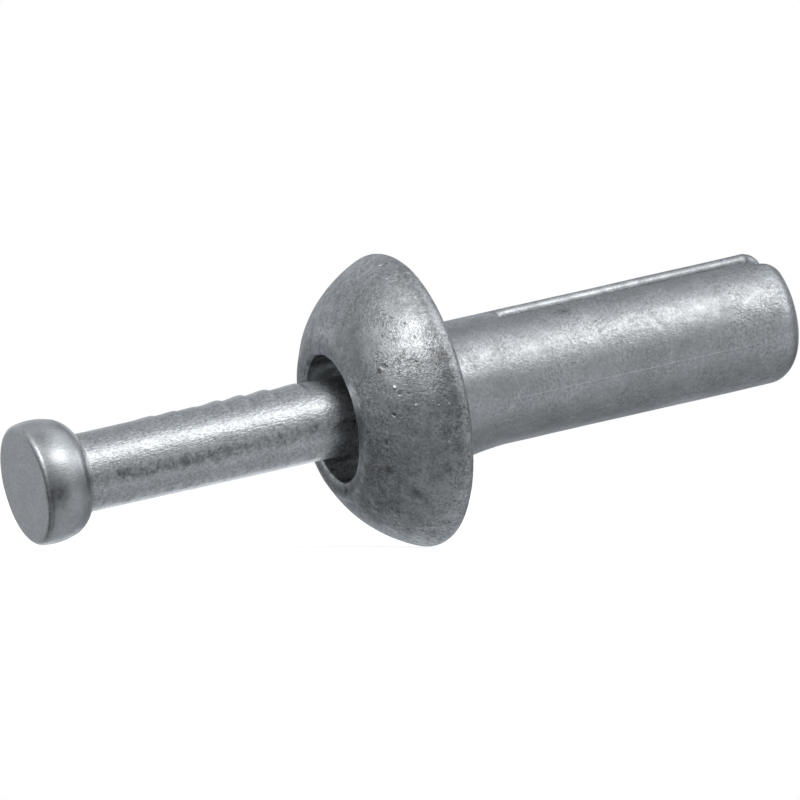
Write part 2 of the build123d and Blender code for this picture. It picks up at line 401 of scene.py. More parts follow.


# a lump of rough metal low in the recess, painted much lighter as painted light
streak = recess * region(-3.0, 0.42, 205, 7) * (1 + 0.8 * fine(verts / 0.22))
tone += 1.6 * streak
push += 0.035 * streak
# painted light and shade on the dome: patches lightened or darkened where its highlights and shaded parts fall, broken
# up by noise
patchy = 1 + 0.6 * soft(verts / 0.9 + 3)
tone += patchy * (0.24 * region(-0.9, 0.9, 8, 22) + 0.18 * region(-3.6, 0.5, 0, 22) - 0.14 * region(-2.5, 0.9, 46, 20)
                  - 0.10 * region(-0.5, 0.8, 66, 20) + 0.10 * region(-1.2, 0.7, 36, 14) - 0.12 * region(-0.9, 0.8, 92, 14)
                  + 0.16 * region(-2.2, 1.2, 132, 18) + 0.24 * region(-0.4, 0.6, 122, 14)
                  + 0.20 * region(-1.6, 1.6, 122, 26) - 0.12 * region(-3.0, 0.9, 150, 22) + 0.20 * region(-1.0, 0.8, 118, 24)
                  - 0.26 * region(-3.4, 0.6, 178, 22) - 0.10 * region(-2.2, 1.0, 60, 30)) * in_head
# painted shade: the rounded rim is painted darker than the dome on the near side, toning down its highlight
tone -= 0.26 * smooth(vs, -0.75, -0.25) * in_head * np.exp(-(((psi - math.radians(98)) / math.radians(34)) ** 4))
# painted shade: a darker band where the end of the sleeve turns over
tone -= 0.34 * np.exp(-((vs - 19.28) / 0.20) ** 2) * smooth(rad, 2.2, 2.6) * np.exp(-(((psi - math.radians(90)) / math.radians(62)) ** 4))
# mottling of the lower dome
tone += in_head * outside * smooth(psi, math.radians(95), math.radians(125)) * (
    0.16 * lump(verts / 0.26 + 17) + 0.14 * fine(verts / 0.42 + 29))
tube = 1 - in_head
streak = np.stack([vx / 0.22, vc / 0.22, vs / 0.55], 1)
# painted light and shade on the sleeve: lighter along the highlight band and near the tip, darker on the upper flank,
# at the end of the slotted leg and at the start of the slot; streaky mottling, stronger in the highlight band
tone += tube * (0.13 * region(10, 30, 68, 15) + 0.13 * region(18.5, 0.7, 60, 16)
                - 0.12 * region(10, 30, 32, 8) - 0.20 * region(19.4, 1.1, 2, 12)
                - 0.25 * region(5.3, 0.45, 5, 8)
                + (0.07 + 0.08 * region(10, 30, 68, 18)) * lump(streak + 13) + 0.05 * fine(verts / 0.9 + 6))
# more painted light and shade on the sleeve: lighter below the highlight, a painted highlight along the lip of the
# slot, darker towards the underside
tone += tube * (0.26 * region(10, 30, 96, 17) + 0.10 * region(10, 30, 112, 12) + 0.20 * region(10, 30, 12, 9)
                - 0.16 * region(10, 30, 140, 12) - 0.34 * region(10, 30, 165, 14)
                + 0.40 * region(10.0, 4.6, 5, 6) * (0.8 + 1.2 * fine(verts / 0.35)))

# metal gathered under the head on the lower side
down = np.cos(psi - math.radians(175))
flare = 0.12 * np.clip((4.6 - vs) / 1.5, 0, 1.6) ** 1.6 * smooth(down, 0.1, 0.95)
push += np.where((vs > UNDER_S + 0.15) & (rad > 2.6) & (rad < 4.2), flare, 0.0)


def at(s, psi_deg, r=None):
    if r is None:
        r = float(outer_r(np.array([float(s)]))[0])
    a = math.radians(psi_deg) - SLOT_ANGLE
    return np.array([r * math.cos(a), r * math.sin(a), s])


wobble = np.stack([lump(verts / 0.30 + 31), lump(verts / 0.30 + 47), lump(verts / 0.30 + 61)], 1)


def mark(centre, size, depth, shade, stretch=1.0, lean=0.0):
    """A dent or lump with a ragged outline.  stretch and lean draw it out along the axis
    (lean 0) or round it (lean 90)."""
    global push, tone
    near = np.abs(verts - centre).max(axis=1) < 3.2 * size * max(stretch, 1.0)
    d = verts[near] - centre + 0.30 * size * wobble[near]
    a = math.atan2(centre[1], centre[0])
    rnd = -d[:, 0] * math.sin(a) + d[:, 1] * math.cos(a)
    out = d[:, 0] * math.cos(a) + d[:, 1] * math.sin(a)
    lng = d[:, 2] + 0.0 * out
    c, k = math.cos(math.radians(lean)), math.sin(math.radians(lean))
    u = (lng * c + rnd * k) / stretch
    v = -lng * k + rnd * c
    w = np.exp(-(u * u + v * v + 0.5 * out * out) / size ** 2)
    push[near] += depth * w
    tone[near] += (shade - 1) * w


rng = np.random.RandomState(42)
for _ in range(230):
    s = rng.uniform(MOUTH_S, END_S) if rng.rand() < 0.55 else rng.uniform(MOUTH_S, UNDER_S)
    mark(at(s, rng.uniform(0, 360)), rng.uniform(0.07, 0.20), rng.uniform(-0.013, 0.007),
         1 + rng.uniform(-0.14, 0.06), rng.uniform(1.0, 2.2), rng.uniform(0, 180))

# single marks of the casting in the photo: axis, angle, size, depth, shade, stretch, lean
MARKS = (
    (-0.71, 17.0, 0.13, -0.022, 0.70, 1.8, 60), (-0.62, 15.6, 0.09, 0.018, 1.10, 1.0, 0),
    (-0.13, 29.8, 0.10, -0.018, 0.72, 1.4, 20), (-2.43, -4.5, 0.11, -0.022, 0.62, 2.2, 20),
    (-1.95, 37.0, 0.08, 0.014, 1.08, 1.0, 0), (-2.63, 27.8, 0.09, -0.016, 0.72, 1.5, 70),
    (-3.11, 38.8, 0.09, -0.014, 0.75, 1.3, 0), (-2.69, 66.2, 0.17, -0.024, 0.66, 1.5, 40),
    (-2.55, 78.6, 0.09, 0.026, 1.22, 1.3, 80), (-2.42, 81.6, 0.11, -0.022, 0.62, 2.6, 15),
    (-2.80, 91.0, 0.12, -0.028, 0.55, 2.2, 40), (-2.62, 92.6, 0.11, -0.022, 0.60, 2.0, 120),
    (-1.95, 88.2, 0.09, 0.020, 1.18, 1.2, 0), (-3.19, 106.5, 0.10, -0.020, 0.66, 2.4, 85),
    (-1.83, 108.0, 0.08, 0.020, 1.15, 1.0, 0), (-2.55, 117.0, 0.11, -0.020, 0.70, 2.6, 35),
    (-0.39, 151.8, 0.10, -0.020, 0.62, 1.6, 20), (-3.05, 122.0, 0.42, -0.006, 0.80, 1.6, 10),
    (-1.90, 133.0, 0.45, -0.005, 0.84, 1.7, 15), (-0.55, 121.0, 0.50, -0.004, 0.84, 1.3, 60),
    (-1.00, 108.0, 0.40, -0.004, 0.90, 1.3, 60), (-2.20, 100.0, 0.34, -0.004, 0.90, 1.5, 0),
    (7.99, 36.2, 0.26, -0.014, 0.74, 1.5, 20), (8.30, 34.2, 0.14, -0.012, 0.78, 1.2, 0),
    (4.2, 60.0, 0.30, -0.003, 0.95, 1.8, 0), (13.2, 92.0, 0.25, -0.006, 0.90, 1.3, 0),
    (11.0, 118.0, 0.35, -0.004, 0.90, 2.0, 0), (6.5, 140.0, 0.40, -0.004, 0.90, 2.0, 0),
)
for s, a, size, depth, shade, stretch, lean in MARKS:
    if size >= 0.2:
        mark(at(s, a), size, 0.6 * depth, shade, stretch, lean)


def casting_point(s, psi_deg):
    """The same place on the outside of the finished casting, in the row frame."""
    r = float(outer_r(np.array([float(s)]))[0])
    a = math.radians(psi_deg)
    if s < UNDER_S:
        r += 0.05 * float(smooth(np.array([math.cos(a + math.radians(15))]), 0.1, 0.9)[0])
    up = (0.085 + 0.0025 * max(s - 3.0, 0)) if s > 2 else 0.0
    shift = 0.065 if s > 0.3 else (-0.07 if s < -3.3 else -0.07 + 0.135 * (s + 3.3) / 3.6)
    return to_world(np.array([r * math.cos(a) + up]), np.array([r * math.sin(a)]), np.array([s + shift]))[0]

verts = verts + push[:, None] * normal
lx, lc, ls = verts.T
ca, sa = math.cos(SLOT_ANGLE), math.sin(SLOT_ANGLE)
# the casting is not quite true: the mouth of the recess sits a little low and forward,
# and the outside of the sleeve a little high
skin = smooth(rad, 2.10, 2.80)
mouth = (1 - smooth(rad, 3.10, 4.30)) * (1 - smooth(vs, FLOOR_S - 1.2, FLOOR_S - 0.2)) * smooth(rad, 2.6, 2.95)
tight = smooth(np.cos(psi), -0.2, 0.5) * smooth(vs, -3.45, -2.95)
rise = skin * (0.085 * smooth(vs, 0.4, 3.0) + 0.0025 * np.clip(vs - 3.0, 0, 17)) - (0.065 * (1 - tight) + 0.10 * smooth(np.cos(psi - math.radians(180)), 0.2, 0.95)) * mouth
slide = 0.065 * smooth(vs, -1.0, 0.3) - 0.070 * (1 - smooth(vs, -3.3, -1.0)) - 0.060 * mouth
body_co = to_world(lx * ca - lc * sa + rise, lx * sa + lc * ca, ls + slide)


def set_attribute(ob, name, values):
    a = ob.data.attributes.new(name, "FLOAT", "POINT")
    a.data.foreach_set("value", np.ascontiguousarray(values, np.float32))


def make_mesh(name, co, faces, flip_sides=False):
    me = bpy.data.meshes.new(name)
    me.vertices.add(len(co))
    me.vertices.foreach_set("co", np.ascontiguousarray(co, np.float32).ravel())
    loops = np.concatenate([np.asarray(f).ravel() for f in faces]).astype(np.int32)
    sizes = np.concatenate([np.full(len(f), np.asarray(f).shape[1]) for f in faces]).astype(np.int32)
    starts = np.concatenate([[0], np.cumsum(sizes)[:-1]]).astype(np.int32)
    me.loops.add(len(loops))
    me.loops.foreach_set("vertex_index", loops)
    me.polygons.add(len(sizes))
    me.polygons.foreach_set("loop_start", starts)
    me.update(calc_edges=True)
    me.validate()
    me.polygons.foreach_set("use_smooth", np.ones(len(sizes), bool))
    ob = bpy.data.objects.new(name, me)
    bpy.context.scene.collection.objects.link(ob)
    return ob


body = make_mesh("anchor_casting", body_co, [quads])
set_attribute(body, "tone", np.clip(tone, 0.30, 1.6))
set_attribute(body, "grain", 0.62 + 0.52 * in_head + 0.34 * tube * region(10, 30, 68, 17)
              - in_head * (0.24 * region(-3.2, 1.2, 30, 60) + 0.22 * region(-1.2, 1.6, 2, 36)))
set_attribute(body, "seam_off", np.where(np.cos(psi - SEAM_ANGLE) > 0, off, 9.0))
set_attribute(body, "seam_amount", along * on_out)
print("casting quads", len(quads), "verts", len(verts))

# ------------------------------------------------------------------ the nail
FACE_S = -20.02
BALL_R, BALL_S, FACE_EDGE = 2.985, 0.886, 0.33
NECK_R, NECK_S, NECK_RR, SHANK_R = 1.457, 1.372, 1.460, 1.908
NAIL_LEN, POINT_LEN, POINT_R, POINT_EDGE = 23.80, 1.70, 0.95, 0.25
face_c, face_a, face_b = inner_fillet(0.0, BALL_S, BALL_R, 0.0, FACE_EDGE, +1)
neck_a_s = 1.838
neck_b_s = NECK_S + math.sqrt(NECK_R ** 2 - (SHANK_R - NECK_RR) ** 2)

prof = []
for r in np.linspace(0.16, face_b[0] - 0.04, 16):
    prof.append((r, 0.0))
for a in np.linspace(-math.pi / 2, ang(face_c, face_a), 9):
    prof.append((face_c[0] + FACE_EDGE * math.cos(a), face_c[1] + FACE_EDGE * math.sin(a)))
a0 = ang((0.0, BALL_S), face_a)
a1 = math.asin((neck_a_s - BALL_S) / BALL_R)
for a in np.linspace(a0, a1, 24)[1:]:
    prof.append((BALL_R * math.cos(a), BALL_S + BALL_R * math.sin(a)))
a0 = math.atan2(neck_a_s - NECK_S, BALL_R * math.cos(a1) - NECK_RR)
a1 = ang((NECK_RR, NECK_S), (SHANK_R, neck_b_s))
for a in np.linspace(a0, a1, 18)[1:]:
    prof.append((NECK_RR + NECK_R * math.cos(a), NECK_S + NECK_R * math.sin(a)))
seen = -3.4 - FACE_S
for s in np.arange(neck_b_s + 0.06, seen, 0.078):
    prof.append((SHANK_R, s))
for s in np.linspace(seen + 0.05, NAIL_LEN - POINT_LEN, 34):
    prof.append((SHANK_R, s))
for t in np.linspace(0, 1, 12)[1:]:
    prof.append((SHANK_R + (POINT_R - SHANK_R) * t, NAIL_LEN - POINT_LEN + (POINT_LEN - POINT_EDGE) * t))
for t in np.linspace(0, 1, 4)[1:]:
    prof.append((POINT_R - POINT_EDGE * t, NAIL_LEN - POINT_EDGE + POINT_EDGE * t))
prof.append((0.35, NAIL_LEN))
prof = np.array(prof)
COLS = 288
rows = len(prof)
theta = np.arange(COLS) * 2 * math.pi / COLS
R = np.repeat(prof[:, 0], COLS)
S = np.repeat(prof[:, 1], COLS)
TH = np.tile(theta, rows)
d = np.gradient(prof, axis=0)
nr, ns = -d[:, 1], d[:, 0]
ln = np.hypot(nr, ns)
NR, NS = np.repeat(-nr / ln, COLS), np.repeat(-ns / ln, COLS)

n1, n2, n3 = Noise(21), Noise(22), Noise(23)
P3 = np.stack([R * np.cos(TH), R * np.sin(TH), S], 1)
bump = 0.006 * n1.fbm(P3 / np.array([1.6, 1.6, 2.6]), 2) + 0.003 * n2(P3 / 0.4)
bump *= smooth(R, 0.0, 0.6)
on_shank = smooth(S, neck_b_s - 0.1, neck_b_s + 0.4) * (1 - smooth(S, NAIL_LEN - POINT_LEN - 0.4, NAIL_LEN - POINT_LEN))
bump += on_shank * 0.004 * n3(np.stack([TH * 3.2, S * 0.35, 0 * S], 1))

# rolled grip marks: low steps on the top of the shank
ABS_S = S + FACE_S + 0.19
STEPS = ((-13.9, -12.85, 0.055), (-12.6, -11.70, 0.050), (-11.5, -10.62, 0.030),
         (-10.2, -9.38, 0.085), (-9.1, -8.19, 0.100), (-8.0, -6.93, 0.100), (-6.7, -5.3, 0.060))
mark = np.zeros_like(S)
for s0, s1, h in STEPS:
    up = smooth(ABS_S, s0, s1) * (1 - smooth(ABS_S, s1, s1 + 0.26))
    mark = np.maximum(mark, up * h)
top = np.cos(TH - math.radians(0))
bump += on_shank * (mark - 0.03) * smooth(top, 0.80, 0.985)
bump = np.minimum(bump, np.where(R > 2.2, 0.012, 0.068))

# dark spots in a row along the front of the shank, partly wear and stain and partly a painted dark reflection, and
# grain in the head
nail_tone = 1 + 0.05 * n1(P3 / 0.8 + 4) * (0.3 + 0.7 * on_shank)
SPOTS = (
    (-17.0, 97, 0.28, 0.80), (-16.4, 101, 0.30, 0.78), (-15.7, 98, 0.20, 0.86), (-14.6, 102, 0.26, 0.80),
    (-13.36, 101, 0.30, 0.68), (-12.26, 100, 0.24, 0.64), (-12.20, 108, 0.20, 0.76), (-11.04, 99, 0.26, 0.66),
    (-10.7, 104, 0.22, 0.76), (-9.6, 96, 0.28, 0.80), (-9.78, 84, 0.12, 0.74), (-8.6, 99, 0.30, 0.80),
    (-7.30, 97.8, 0.28, 0.76), (-6.4, 94, 0.26, 0.80), (-5.4, 92, 0.30, 0.82), (-14.0, 92, 0.14, 0.80),
    (-12.40, 77.5, 0.13, 0.72),
)
for s0, a0, size, shade in SPOTS:
    du = (ABS_S - s0) / size
    dv = ((TH - math.radians(a0) + math.pi) % (2 * math.pi) - math.pi) * SHANK_R / (size * 0.8)
    ragged = 0.55 * n2(P3 / 0.22 + 8)
    w = np.exp(-np.maximum(du * du + dv * dv + ragged, 0)) * (R > 1.5)
    nail_tone += 0.8 * (shade - 1) * w
    bump -= 0.004 * w * on_shank
# painted dark reflection low on the front of the head
dv = (TH - math.radians(100.0)) * BALL_R / 0.62
w = np.exp(-(((ABS_S + 19.30) / 0.60) ** 2 + dv * dv + 0.5 * n2(P3 / 0.25))) * (R > 2.5)
nail_tone -= 0.56 * np.clip(w, 0, 1)
# painted light and shade on the head: lighter at the top and at its highlight, darker on the front towards the neck
dv = (TH - math.radians(24.0)) * BALL_R / 0.9
nail_tone += 0.15 * np.exp(-(((ABS_S + 18.5) / 0.6) ** 2 + dv * dv)) * (R > 2.2)
dv = (TH - math.radians(66.0)) * BALL_R / 0.40
nail_tone += 0.16 * np.exp(-(((ABS_S + 18.86) / 0.34) ** 2 + dv * dv)) * (R > 2.2)
dv = (TH - math.radians(86.0)) * BALL_R / 0.55
nail_tone -= 0.20 * np.exp(-(((ABS_S + 18.22) / 0.34) ** 2 + dv * dv)) * (R > 2.0)
# painted shade darkens the neck, and a painted reflection brightens the underside of the shank, with a ragged edge
around_neck = np.exp(-((S - 2.05) / 0.42) ** 2)
nail_tone -= 0.30 * around_neck
under = np.cos(TH - math.radians(166))
nail_tone += on_shank * 0.42 * smooth(under + 0.10 * n2(np.stack([S / 0.30, TH * 2.5, 0 * S], 1)), 0.90, 0.99)
# painted light and shade on the shank: lighter along the top and at the highlight, a little darker between them
nail_tone += on_shank * (0.12 * smooth(np.cos(TH), 0.93, 1.0) + 0.10 * np.exp(-(((TH - math.radians(70)) / 0.22) ** 2))
                         - 0.06 * np.exp(-(((TH - math.radians(44)) / 0.26) ** 2)))
# each grip mark gets a painted highlight on its crest and painted shade behind it
for s0, s1, h in STEPS:
    near_top = smooth(np.cos(TH), 0.70, 0.90) * on_shank * h / 0.08
    nail_tone += 0.10 * near_top * np.exp(-((ABS_S - s1 + 0.10) / 0.14) ** 2)
    nail_tone -= 0.15 * near_top * np.exp(-((ABS_S - s1 - 0.20) / 0.13) ** 2)
# painted light on either side of the dark band along the front of the shank
nail_tone += on_shank * (0.20 * np.exp(-(((TH - math.radians(89)) / math.radians(6)) ** 2))
                         + 0.14 * np.exp(-(((TH - math.radians(116)) / math.radians(9)) ** 2)))
# mask of that band, where the shader paints a dark reflection together with wear mottling
band = on_shank * np.exp(-(((TH - math.radians(101)) / math.radians(11)) ** 4))

R2, S2 = R + bump * NR, S + bump * NS
x, y = R2 * np.cos(TH), R2 * np.sin(TH)
x = np.concatenate([x, [0.0, 0.0]])
y = np.concatenate([y, [0.0, 0.0]])
S2 = np.concatenate([S2, [0.0, NAIL_LEN]])
tilt = math.radians(1.6) * (1 - smooth(S2, 0.9, 2.6))
x, S2 = (x * np.cos(tilt) + (S2 - BALL_S) * np.sin(tilt),
         BALL_S + (S2 - BALL_S) * np.cos(tilt) - x * np.sin(tilt))
x = x - 0.008
S2 = S2 + 0.13
co = [to_world(x, y, S2 + FACE_S)]
co = np.concatenate(co)
i = np.arange(rows - 1)[:, None] * COLS + np.arange(COLS)[None]
j = np.arange(rows - 1)[:, None] * COLS + (np.arange(COLS)[None] + 1) % COLS
nq = np.stack([i, j, j + COLS, i + COLS], -1).reshape(-1, 4)
k = np.arange(COLS)
kn = (k + 1) % COLS
cap0 = np.stack([np.full(COLS, rows * COLS), kn, k], 1)
last = (rows - 1) * COLS
cap1 = np.stack([np.full(COLS, rows * COLS + 1), last + k, last + kn], 1)
nail = make_mesh("steel_drive_nail", co, [nq, cap0, cap1])
set_attribute(nail, "tone", np.clip(np.concatenate([nail_tone, [1.0, 1.0]]), 0.30, 1.5))
set_attribute(nail, "grain", np.concatenate([np.where(S < 0.2, 0.60, np.where(S < 2.6, 0.40 + 0.45 * smooth(-np.cos(TH - math.radians(60)), -0.5, 0.2), 1.0)), [0.3, 0.5]]))
set_attribute(nail, "band", np.concatenate([band, [0.0, 0.0]]))
print("nail rows", rows, "triangles", len(nq) * 2 + 2 * COLS)


# ------------------------------------------------------------------ materials
class Tree:
    def __init__(self, mat):
        mat.use_nodes = True
        self.t = mat.node_tree
        self.t.nodes.clear()
        self.x = 0

    def node(self, kind, **values):
        n = self.t.nodes.new(kind)
        self.x += 180
        n.location = (self.x, 0)
        for key, v in values.items():
            if key.startswith("_"):
                setattr(n, key[1:], v)
            else:
                n.inputs[key.replace("__", " ")].default_value = v
        return n

    def link(self, a, b):
        self.t.links.new(a, b)

    def noise(self, coord, scale, detail=4.0, rough=0.5, distort=0.0):
        n = self.node("ShaderNodeTexNoise")
        n.inputs["Scale"].default_value = scale
        n.inputs["Detail"].default_value = detail
        n.inputs["Roughness"].default_value = rough
        n.inputs["Distortion"].default_value = distort
        self.link(coord, n.inputs["Vector"])
        return n.outputs["Fac"]

    def voronoi(self, coord, scale, feature="F1", randomness=1.0):
        n = self.node("ShaderNodeTexVoronoi", _feature=feature)
        n.inputs["Scale"].default_value = scale
        n.inputs["Randomness"].default_value = randomness
        self.link(coord, n.inputs["Vector"])
        return n.outputs["Distance"]

    def remap(self, value, a, b, c, d, kind="LINEAR"):
        n = self.node("ShaderNodeMapRange", _interpolation_type=kind)
        self.link(value, n.inputs["Value"])
        for key, v in (("From Min", a), ("From Max", b), ("To Min", c), ("To Max", d)):
            n.inputs[key].default_value = v
        return n.outputs["Result"]

    def math(self, op, a, b):
        n = self.node("ShaderNodeMath", _operation=op)
        for k, v in enumerate((a, b)):
            if isinstance(v, (int, float)):
                n.inputs[k].default_value = v
            else:
                self.link(v, n.inputs[k])
        return n.outputs[0]

    def ramp(self, value, stops):
        n = self.node("ShaderNodeValToRGB")
        e = n.color_ramp.elements
        e[0].position, e[0].color = stops[0][0], (*stops[0][1], 1)
        e[1].position, e[1].color = stops[-1][0], (*stops[-1][1], 1)
        for p, c in stops[1:-1]:
            k = e.new(p)
            k.color = (*c, 1)
        self.link(value, n.inputs["Fac"])
        return n.outputs["Color"]


def tinted(t, value):
    """A grey of the given value, very slightly cool."""
    n = t.node("ShaderNodeCombineColor")
    t.link(t.math("MULTIPLY", value, 0.983), n.inputs[0])
    t.link(t.math("MULTIPLY", value, 1.003), n.inputs[1])
    t.link(t.math("MULTIPLY", value, 1.012), n.inputs[2])
    return n.outputs[0]


def around(t, value, gain, amount=None):
    """1 plus gain times the distance of a noise value from its middle."""
    d = t.math("MULTIPLY", t.math("SUBTRACT", value, 0.5), gain)
    if amount is not None:
        d = t.math("MULTIPLY", d, amount)
    return t.math("ADD", d, 1.0)


def specks(t, coord, scale, size, share):
    """Sparse small spots, 1 at the middle of each, in the given share of the cells."""
    n = t.node("ShaderNodeTexVoronoi", _feature="F1")
    n.inputs["Scale"].default_value = scale
    t.link(coord, n.inputs["Vector"])
    spot = t.remap(n.outputs["Distance"], size * 0.35, size, 1.0, 0.0, "SMOOTHSTEP")
    sep = t.node("ShaderNodeSeparateColor")
    t.link(n.outputs["Color"], sep.inputs[0])
    keep = t.math("LESS_THAN", sep.outputs[0], share)
    return t.math("MULTIPLY", spot, keep)


def placed(t, coord, marks, deepest):
    """Tone and height of single small marks at given places, with ragged outlines; the tone is a painted glint on each
    raised speck and painted shade in each pit.
    """
    n = t.node("ShaderNodeTexNoise")
    n.inputs["Scale"].default_value = 4200.0
    n.inputs["Detail"].default_value = 2.0
    t.link(coord, n.inputs["Vector"])
    w = t.node("ShaderNodeVectorMath", _operation="MULTIPLY_ADD")
    t.link(n.outputs["Color"], w.inputs[0])
    w.inputs[1].default_value = (0.00016,) * 3
    w.inputs[2].default_value = (-0.00008,) * 3
    q = t.node("ShaderNodeVectorMath", _operation="ADD")
    t.link(coord, q.inputs[0])
    t.link(w.outputs["Vector"], q.inputs[1])
    tone, height = 0.0, 0.0
    for s, psi_deg, size, depth, shade, stretch, lean in marks:
        a, b = math.radians(psi_deg), math.radians(lean)
        long = math.cos(b) * AX + math.sin(b) * (-math.sin(a) * E1 + math.cos(a) * E2)
        d = t.node("ShaderNodeVectorMath", _operation="SUBTRACT")
        t.link(q.outputs["Vector"], d.inputs[0])
        d.inputs[1].default_value = tuple(casting_point(s, psi_deg))
        dd = t.node("ShaderNodeVectorMath", _operation="DOT_PRODUCT")
        t.link(d.outputs["Vector"], dd.inputs[0])
        t.link(d.outputs["Vector"], dd.inputs[1])
        du = t.node("ShaderNodeVectorMath", _operation="DOT_PRODUCT")
        t.link(d.outputs["Vector"], du.inputs[0])
        du.inputs[1].default_value = tuple(long)
        u2 = t.math("MULTIPLY", du.outputs["Value"], du.outputs["Value"])
        q2 = t.math("SUBTRACT", dd.outputs["Value"], t.math("MULTIPLY", u2, 1 - 1 / stretch ** 2))
        m = t.remap(q2, (0.30 * size * MM) ** 2, (1.05 * size * MM) ** 2, 1.0, 0.0, "SMOOTHSTEP")
        tone = t.math("ADD", t.math("MULTIPLY", m, shade - 1), tone)
        height = t.math("ADD", t.math("MULTIPLY", m, depth / deepest), height)
    return tone, height


# small marks: raised specks painted much lighter as painted glints, pits and cracks painted darker as painted shade,
# wider shallow patches darker
FINE_MARKS = tuple((a, b, c, d, 0.5 + 0.5 * e, f, g) for a, b, c, d, e, f, g in MARKS if c < 0.2) + (
    # axis, angle, size, depth, shade, stretch, lean
    (-2.55, 77.8, 0.085, 0.028, 1.85, 1.3, 70), (-2.36, 80.6, 0.085, -0.016, 0.62, 1.9, 20),
    (-2.10, 82.5, 0.070, -0.014, 0.66, 3.0, 30), (-2.92, 67.6, 0.13, -0.016, 0.60, 1.5, 60),
    (-2.92, 88.0, 0.070, -0.012, 0.62, 3.0, 75), (-2.80, 91.2, 0.085, -0.016, 0.60, 2.4, 25),
    (-2.55, 92.4, 0.060, -0.014, 0.66, 2.6, 0), (-1.95, 88.4, 0.055, 0.022, 1.60, 1.0, 0),
    (-0.72, 15.2, 0.100, 0.022, 2.10, 1.2, 10), (-0.50, 17.4, 0.085, -0.018, 0.50, 1.6, 0),
    (-0.90, 17.0, 0.055, 0.018, 1.90, 2.2, 80), (-0.05, 29.4, 0.075, 0.020, 1.90, 1.2, 0),
    (-1.28, 88.0, 0.050, 0.018, 1.45, 1.0, 0),
    (-1.08, 90.0, 0.050, 0.018, 1.40, 1.0, 0), (-0.62, 90.5, 0.060, 0.018, 1.40, 1.8, 80),
    (-0.85, 105.5, 0.060, 0.020, 1.75, 1.2, 30), (-1.70, 110.0, 0.055, 0.018, 1.65, 1.0, 0),
    (-3.15, 105.5, 0.070, -0.016, 0.55, 3.6, 80), (-2.45, 114.0, 0.070, -0.014, 0.60, 4.0, 40),
    (-2.05, 119.0, 0.075, -0.016, 0.60, 2.2, 60), (-3.10, 123.0, 0.24, -0.003, 0.72, 1.8, 20),
    (-2.05, 132.0, 0.26, -0.003, 0.70, 2.4, 20), (-0.95, 117.0, 0.30, -0.003, 0.74, 1.6, 70),
    (-0.30, 151.0, 0.080, -0.016, 0.45, 2.2, 20), (-1.05, 152.0, 0.10, 0.010, 1.35, 2.6, 10),
    (-0.55, 146.0, 0.070, -0.012, 0.55, 2.8, 30), (-1.9, 160.0, 0.08, -0.012, 0.60, 3.0, 10),
    (-1.75, 46.0, 0.065, -0.014, 0.62, 2.6, 50), (-1.35, 52.0, 0.055, -0.014, 0.60, 3.0, 120),
    (-1.95, 57.0, 0.060, 0.014, 1.40, 2.2, 70), (-1.20, 60.0, 0.050, -0.014, 0.62, 3.2, 40),
    (-2.35, 52.0, 0.060, -0.014, 0.66, 2.4, 90), (-0.95, 49.0, 0.050, 0.014, 1.35, 2.0, 0),
    (6.35, 24.5, 0.060, 0.010, 1.35, 2.6, 0), (7.10, 27.0, 0.050, 0.010, 1.30, 2.0, 10),
    (5.70, 12.0, 0.085, 0.012, 1.45, 2.4, 10), (6.30, 9.0, 0.060, -0.010, 0.66, 2.4, 10),
    (8.60, 8.0, 0.075, -0.010, 0.62, 1.8, 10), (9.30, 6.0, 0.060, -0.010, 0.66, 2.4, 0),
    (8.10, 36.0, 0.11, -0.010, 0.66, 1.6, 10), (8.25, 33.0, 0.07, -0.008, 0.70, 1.2, 0),
    (16.6, 118.0, 0.06, -0.008, 0.75, 1.4, 0), (15.2, 128.0, 0.09, -0.008, 0.80, 1.6, 30),
)


